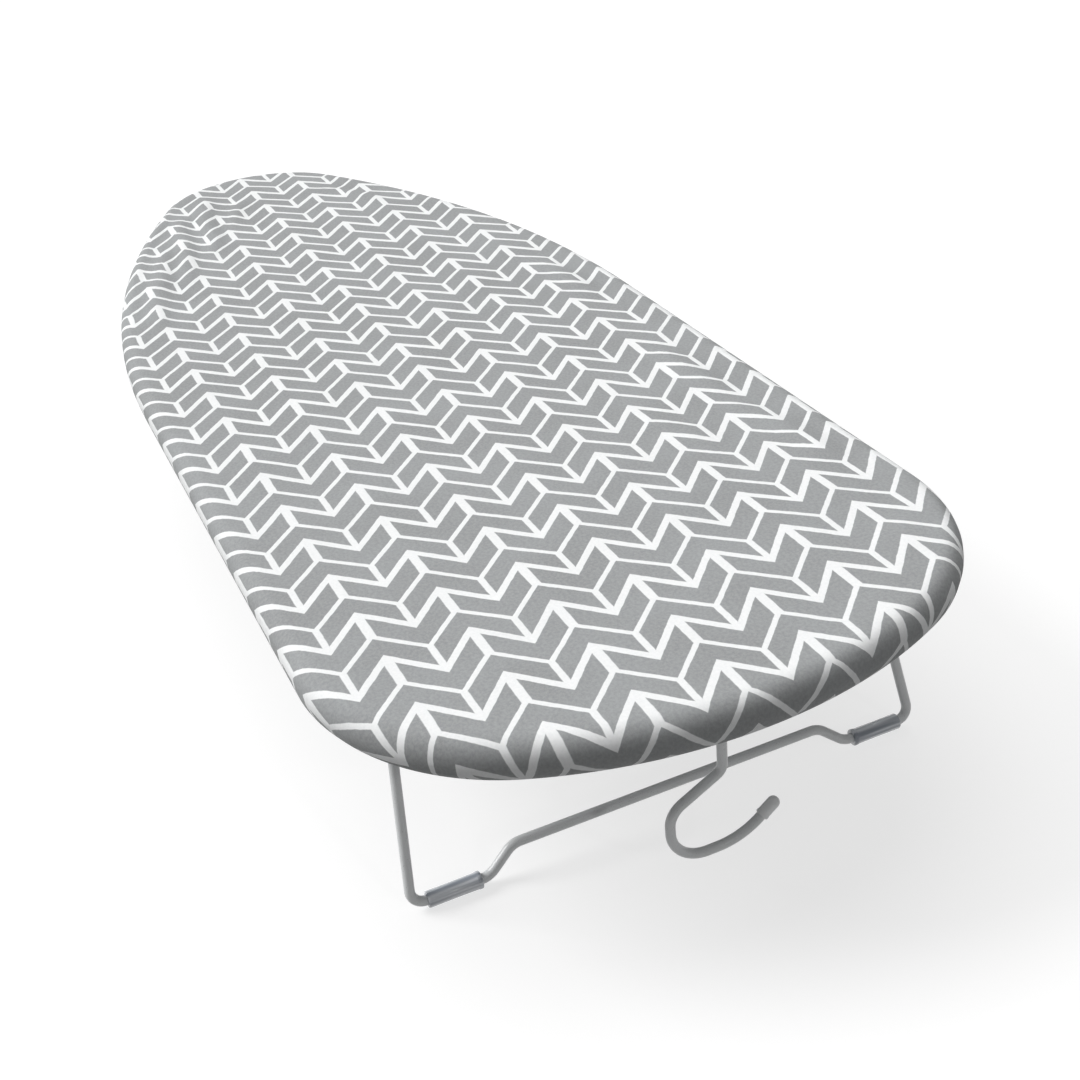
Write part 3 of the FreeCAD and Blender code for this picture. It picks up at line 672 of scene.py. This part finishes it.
class TopCloth:
    """The cloth on top, on a square grid over its flat cut, as the simulation leaves it."""

    def __init__(self):
        self.x = np.arange(NOSE_X - GRID, END_X + 2 * GRID, GRID)
        self.y = np.arange(-HALF_WIDTH - GRID, HALF_WIDTH + 2 * GRID, GRID)
        grid_x, grid_y = np.meshgrid(self.x, self.y, indexing="ij")
        self.cut = np.column_stack([grid_x.ravel(), grid_y.ravel()])
        self.moved = np.column_stack([pushed(self.cut), np.zeros(len(self.cut))])
        self.simulate()

    def simulate(self):
        """Lets the drawn-up cloth buckle over the pad, held round its edge."""
        depth = inside_edge(self.cut, outline(0.01)[0])
        used, faces = self.squares(depth)
        depth = depth[used]
        flat = with_height(self.cut[used], 0)
        start = flat + self.moved[used]
        start[:, 2] = smooth_rise(depth, HELD_EDGE, HELD_EDGE * 2) * folded(flat[:, :2])
        trial = from_points("cloth_trial", start.tolist(), faces.tolist())
        self.moved[used] = buckled(trial, flat, np.flatnonzero(depth < HELD_EDGE)) - flat
        self.cap()

    def squares(self, depth):
        """The points and squares of the grid that lie inside the board's edge."""
        index = np.arange(len(self.cut)).reshape(len(self.x), len(self.y))
        corners = [index[:-1, :-1], index[1:, :-1], index[1:, 1:], index[:-1, 1:]]
        faces = np.stack([corner.ravel() for corner in corners], axis=1)
        faces = faces[(depth[faces] > HELD_EDGE * 0.4).all(axis=1)]
        used, faces = np.unique(faces, return_inverse=True)
        return used, faces.reshape(-1, 4)

    def cap(self):
        """Keeps the folds but not the swell under them, and holds every move to its limit."""
        level = self.moved[:, 2].reshape(len(self.x), len(self.y))
        level = evened(level, FOLD_ROUNDS)
        level = (level - evened(level, SWELL_ROUNDS)) * FOLD_GAIN
        rise = MOST_RISE * np.tanh(np.maximum(level, 0) / MOST_RISE)
        sink = MOST_SINK * np.tanh(np.minimum(level, 0) / MOST_SINK)
        self.moved[:, 2] = (rise + sink).ravel()
        slide = np.linalg.norm(self.moved[:, :2], axis=1, keepdims=True)
        self.moved[:, :2] *= np.minimum(1, MOST_SLIDE / np.maximum(slide, 1e-9))

    def at(self, cut):
        """How far the cloth has moved at points of its flat cut, between the grid's points."""
        table = self.moved.reshape(len(self.x), len(self.y), 3)
        across = np.clip((cut[:, 0] - self.x[0]) / GRID, 0, len(self.x) - 1.001)
        up = np.clip((cut[:, 1] - self.y[0]) / GRID, 0, len(self.y) - 1.001)
        i, j = across.astype(int), up.astype(int)
        u, v = (across - i)[:, None], (up - j)[:, None]
        low = table[i, j] * (1 - u) + table[i + 1, j] * u
        high = table[i, j + 1] * (1 - u) + table[i + 1, j + 1] * u
        return low * (1 - v) + high * v


def edge_profile():
    """Inset, height and cut's inset down the cover's edge and in under it to the hem."""
    profile = []
    quarter = math.pi / 2
    for share in np.linspace(0, 1, 7):
        angle = quarter * share
        inset = TOP_ROUND * (1 - math.sin(angle))
        height = TOP - TOP_ROUND * (1 - math.cos(angle))
        profile.append((inset, height, TOP_ROUND - TOP_ROUND * angle))
    side = TOP - TOP_ROUND - BOTTOM - LOWER_ROUND
    used = TOP_ROUND - TOP_ROUND * quarter
    profile.append((0, TOP - TOP_ROUND - side / 2, used - side / 2))
    used -= side
    for share in np.linspace(0, 1, 5):
        angle = quarter * share
        inset = LOWER_ROUND * (1 - math.cos(angle))
        height = BOTTOM + LOWER_ROUND * (1 - math.sin(angle))
        profile.append((inset, height, used - LOWER_ROUND * angle))
    used -= LOWER_ROUND * quarter
    reach = HEM_REACH + TAPE_WIDTH * 0.6
    for inset in np.linspace(LOWER_ROUND, reach, 13)[1:]:
        profile.append((inset, BOTTOM, used - (inset - LOWER_ROUND)))
    return profile


def gather_wave(along, whole):
    """Uneven gathers round the hem, from -1 to 1, the same at both ends of the loop."""
    wave = np.zeros_like(along)
    for count, size, phase in GATHERS:
        wave += size * np.sin(2 * math.pi * count * along / whole + phase)
    return np.clip(wave, -1, 1)


def hem_height(inset, wave):
    """The gathered cloth's height under the board."""
    grow = smooth_rise(inset, 0.008, HEM_REACH)
    return BOTTOM + grow * (0.0016 + 0.0013 * wave)


def unskewed(flat):
    """Where points of the cover lie on the cloth's own straight print."""
    x = flat[:, :1]
    moved = smooth_rise(-x, -SKEW_FROM, -SKEW_TO) * np.array(SKEW)
    for middle, reach, way in DRAWN:
        moved = moved + np.exp(-((x - middle) / reach) ** 2) * np.array(way)
    return flat - moved


def build_cover(cloth):
    points, ways = outline(STEP_ROUND)
    along, whole = lengths_round(points)
    wave = gather_wave(along, whole)
    middle = spine(points, ways)
    inner = points - ways * SPINE_INSET
    cuts = [middle + (inner - middle) * share for share in np.linspace(0, 1, FLAT_RINGS)]
    insets = np.arange(SPINE_INSET - RING_GAP, TOP_ROUND + 0.001, -RING_GAP)
    cuts += [points - ways * inset for inset in insets]
    rings = [with_height(cut, TOP + cloth.at(cut)[:, 2]) for cut in cuts]
    slides = [cloth.at(cut)[:, :2] for cut in cuts]
    for inset, height, cut_inset in edge_profile():
        under = height <= BOTTOM + 1e-6
        level = hem_height(inset, wave) if under else height
        rings.append(with_height(points - ways * inset, level))
        cuts.append(points - ways * cut_inset)
        slides.append(pushed(points))
    hem_cut = cuts[-1]
    prints = [unskewed(cut - slide) for cut, slide in zip(cuts, slides)]
    cover = lofted("printed_cover", rings, prints, merge_first=True)
    bake_map(cover)
    shell = cover.modifiers.new("cloth thickness", "SOLIDIFY")
    shell.thickness = CLOTH
    shell.offset = -1
    dressed(cover, printed_cotton())
    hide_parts("cotton_cover")
    x, y = hem_cut.T
    area = abs(np.sum(x * np.roll(y, -1) - y * np.roll(x, -1))) / 2
    size = np.ptp(hem_cut, axis=0)
    return cover, (size[1], size[0]), area


def build_tape():
    """The binding that holds the elastic, drawn up into small puckers."""
    points, ways = outline(TAPE_STEP)
    along, whole = lengths_round(points)
    wave = gather_wave(along, whole)
    pucker = np.sin(2 * math.pi * PUCKERS * along / whole)
    centre = points - ways * (HEM_REACH + TAPE_WIDTH / 2)
    level = hem_height(HEM_REACH, wave * 0.6)
    rings, cuts = [], []
    sides = 14
    for number in range(sides):
        angle = 2 * math.pi * number / sides
        across, up = math.cos(angle), math.sin(angle)
        squareness = 1 / max(abs(across), abs(up)) ** 0.7
        wide = across * squareness * TAPE_WIDTH / 2 * (1 + 0.05 * pucker)
        high = up * squareness * TAPE_DEPTH / 2 * (0.82 + 0.10 * pucker)
        flat = centre + ways * wide[:, None]
        rings.append(with_height(flat, level + high))
        cuts.append(np.column_stack([along, np.full_like(along, number * 0.0011)]))
    tape = lofted("hem_tape", rings, cuts, close=True)
    dressed(tape, hem_tape())
    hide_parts("hem_binding")
    return tape


def build_stitches():
    """The row of stitches that closes the tape over the cloth."""
    points, ways = outline(STITCH_PITCH)
    along, whole = lengths_round(points)
    centre = points - ways * (HEM_REACH + TAPE_WIDTH / 2)
    level = hem_height(HEM_REACH, gather_wave(along, whole) * 0.6) - TAPE_DEPTH * 0.43
    spots, faces = [], []
    for (x, y), (way_x, way_y), height in zip(centre, ways, level):
        spot = np.array((x, y, height))
        run = np.array((-way_y, way_x, 0.0)) * STITCH_PITCH * 0.36
        side = np.array((way_x, way_y, 0.0)) * 0.00022
        drop = np.array((0, 0, 0.0002))
        first = len(spots)
        spots += [spot - run, spot + run, spot - side, spot + side, spot - drop, spot + drop]
        for end in (0, 1):
            for here, there in ((2, 4), (4, 3), (3, 5), (5, 2)):
                corners = (end, here, there) if end else (end, there, here)
                faces.append([first + corner for corner in corners])
    return from_points("hem_stitches", spots, faces)


def build_foam(cloth):
    """The pad under the cover: crowned over the deck, with rounded edges."""
    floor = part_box("foam_pad")[0].z
    points, ways = outline(0.005)
    middle = spine(points, ways)
    inner = points - ways * SPINE_INSET
    flats = [middle + (inner - middle) * share for share in np.linspace(0, 1, 9)]
    insets = np.arange(SPINE_INSET - 2 * RING_GAP, TOP_ROUND + 0.001, -2 * RING_GAP)
    flats += [points - ways * inset for inset in insets]
    rings = [with_height(flat, TOP - PAD_GAP + cloth.at(flat)[:, 2] * 0.5) for flat in flats]
    radius = TOP_ROUND - PAD_GAP
    for angle in np.linspace(0.15, 1.2, 6):
        inset = TOP_ROUND - radius * math.sin(angle)
        height = max(floor, TOP - TOP_ROUND + radius * math.cos(angle))
        rings.append(with_height(points - ways * inset, height))
    for inset in (0.003, 0.012, SPINE_INSET):
        rings.append(with_height(points - ways * inset, floor))
    for share in np.linspace(1, 0, 5)[1:]:
        rings.append(with_height(middle + (inner - middle) * share, floor))
    pad = lofted("foam_layer", rings, merge_first=True, merge_last=True)
    dressed(pad, foam())
    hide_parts("foam_pad")
    return pad


# ---------------------------------------------------------------- plastic fittings
def build_sleeve(leg, side, material):
    """A soft sleeve on the foot of a leg, with a lip at the end nearer the middle."""
    node = f"{leg}_foot_sleeve_{side}"
    low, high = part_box(node)
    outside = (high.z - low.z) / 2
    wire = 0.00252
    length = high.y - low.y
    middle = (low + high) / 2
    inward = -1 if side == "left" else 1
    lip = 0.0020
    body = outside - 0.00025
    profile = [
        (0, wire), (0, body - 0.0006), (0.0002, body - 0.0002), (0.0007, body),
        (length * 0.5, body - 0.0001), (length - lip - 0.0004, body), (length - lip, outside),
        (length - 0.0004, outside), (length - 0.0001, outside - 0.0003), (length, wire),
    ]
    start = (middle.x, middle.y - inward * length / 2, middle.z)
    sleeve = turned(f"{leg}_sleeve_{side}", profile, start, (0, inward, 0))
    dressed(sleeve, material, f"{leg}_leg")
    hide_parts(node)
    return sleeve


def build_cap(material):
    """The rounded cap on the hook's tip."""
    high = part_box("hook_tip_cap")[1]
    middle_x = sum(corner.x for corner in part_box("hook_tip_cap")) / 2
    outside = high.x - middle_x
    rise = math.radians(38)
    way = Vector((0, math.cos(rise), math.sin(rise)))
    tip = Vector((middle_x, high.y - outside, high.z - outside))
    length = 0.008
    wire = 0.00242
    profile = [
        (-length, wire), (-length, outside - 0.0002), (-length + 0.0003, outside),
        (-length + 0.0013, outside), (-length + 0.0018, outside - 0.00018),
        (0, outside - 0.00018),
    ]
    for angle in np.linspace(0.15, 1.5, 9):
        reach = outside - 0.00018
        profile.append((reach * math.sin(angle), reach * math.cos(angle)))
    profile.append((outside - 0.00018, 0.00001))
    cap = turned("hook_cap", profile, tip, way)
    dressed(cap, material, "hook")
    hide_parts("hook_tip_cap")
    return cap


# ---------------------------------------------------------------- metalwork
def paint_nodes(material, *names):
    for name in names:
        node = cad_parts[name]
        node.data.materials.clear()
        node.data.materials.append(material)


def weld_spots():
    """The places of the welds, in rows along each crossmember's two lips."""
    for name in ("front_crossmember", "rear_crossmember", "middle_crossmember", "hook_crossmember"):
        low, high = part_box(name)
        half_y = high.y - WELD_FROM_END
        count = round(2 * half_y / WELD_PITCH)
        for x in (low.x + WELD_LIP, high.x - WELD_LIP):
            for number in range(count + 1):
                yield x, -half_y + 2 * half_y * number / count, high.z - WELD_SHEET


def build_welds():
    """A shallow dimple with a raised rim at each weld."""
    points, faces = [], []
    for x, y, level in weld_spots():
        first = len(points)
        points.append((x, y, level - 0.00035))
        for radius, drop in ((0.0012, 0.0003), (0.0022, -0.0001)):
            for turn in range(12):
                angle = math.pi * turn / 6
                spot = (x + radius * math.cos(angle), y + radius * math.sin(angle))
                points.append((*spot, level - drop))
        for turn in range(12):
            here, there = first + 1 + turn, first + 1 + (turn + 1) % 12
            faces.append((first, there, here))
            faces.append((here, there, there + 12, here + 12))
    return from_points("spot_welds", points, faces)


def dress_metal():
    deck_paint = paint("deck_paint", colour(0.46, 0.47, 0.48), colour(0.56, 0.57, 0.58), 0.4)
    wire_paint = paint("wire_paint", colour(0.74, 0.755, 0.76), colour(0.84, 0.855, 0.86), 0.26)
    zinc = zinc_plate()
    dressed(build_welds(), deck_paint)
    paint_nodes(
        deck_paint, "perforated_deck", "front_crossmember", "rear_crossmember",
        "middle_crossmember", "hook_crossmember",
    )
    paint_nodes(wire_paint, "front_leg_wire", "rear_leg_wire", "hanging_hook")
    paint_nodes(
        zinc, "rim_frame", "front_bracket_left", "front_bracket_right", "rear_bracket_left",
        "rear_bracket_right", "front_bracket_rivets", "rear_bracket_rivets", "front_stop_pins",
        "rear_stop_pins", "hook_bracket", "hook_bracket_rivets", "hook_push_nut",
    )
    paint_nodes(elastic_braid(), "hem_elastic")


# ---------------------------------------------------------------- stage
def build_floor():
    far = 12.0
    corners = [(-far, -far, 0), (far, -far, 0), (far, far, 0), (-far, far, 0)]
    floor = from_points("floor", corners, [(0, 1, 2, 3)])
    floor.data.materials.append(floor_finish())
    floor.visible_diffuse = False


def build_surround():
    """Soft light from all round. Only the camera sees the backdrop, as pale as the floor."""
    world = bpy.data.worlds.new("studio")
    world.use_nodes = True
    tree = world.node_tree
    lit = next(n for n in tree.nodes if n.type == "BACKGROUND")
    seen = tree.nodes.new("ShaderNodeBackground")
    for shade, strength in ((lit, AMBIENT), (seen, 1.0)):
        shade.inputs["Color"].default_value = (1, 1, 1, 1)
        shade.inputs["Strength"].default_value = strength
    choice = tree.nodes.new("ShaderNodeMixShader")
    rays = tree.nodes.new("ShaderNodeLightPath")
    out = next(n for n in tree.nodes if n.type == "OUTPUT_WORLD")
    tree.links.new(rays.outputs["Is Camera Ray"], choice.inputs[0])
    tree.links.new(lit.outputs[0], choice.inputs[1])
    tree.links.new(seen.outputs[0], choice.inputs[2])
    tree.links.new(choice.outputs[0], out.inputs["Surface"])
    bpy.context.scene.world = world


def build_lights():
    for name, turn, strength, spread in LAMPS:
        lamp = bpy.data.lights.new(name, "SUN")
        lamp.energy = strength
        lamp.angle = math.radians(spread)
        light = bpy.data.objects.new(name, lamp)
        light.rotation_euler = Euler([math.radians(angle) for angle in turn])
        bpy.context.scene.collection.objects.link(light)


def build_camera():
    lens = bpy.data.cameras.new("camera")
    lens.lens = CAMERA_LENS
    lens.sensor_width = 36
    camera = bpy.data.objects.new("camera", lens)
    look = (Vector(CAMERA_AIM) - Vector(CAMERA_PLACE)).to_track_quat("-Z", "Y")
    camera.rotation_mode = "QUATERNION"
    camera.rotation_quaternion = look @ Quaternion((0, 0, 1), math.radians(CAMERA_ROLL))
    camera.location = CAMERA_PLACE
    bpy.context.scene.collection.objects.link(camera)
    bpy.context.scene.camera = camera
    bpy.context.scene.view_settings.view_transform = "Standard"


# ---------------------------------------------------------------- assembly
def build_all():
    cloth = TopCloth()
    cover, flat, area = build_cover(cloth)
    tape = build_tape()
    stitches = dressed(build_stitches(), sewing_thread())
    build_foam(cloth)
    # the sleeve's light colour goes into painted highlight streaks along the tube
    sleeve = vinyl("sleeve_vinyl", colour(0.34, 0.37, 0.42), colour(0.88, 0.91, 0.95), 0.12)
    for leg in ("front", "rear"):
        for side in ("left", "right"):
            build_sleeve(leg, side, sleeve)
    build_cap(vinyl("cap_vinyl", colour(0.90, 0.91, 0.91), colour(0.96, 0.97, 0.97), 0.5))
    dress_metal()
    build_floor()
    build_surround()
    build_lights()
    build_camera()


build_all()
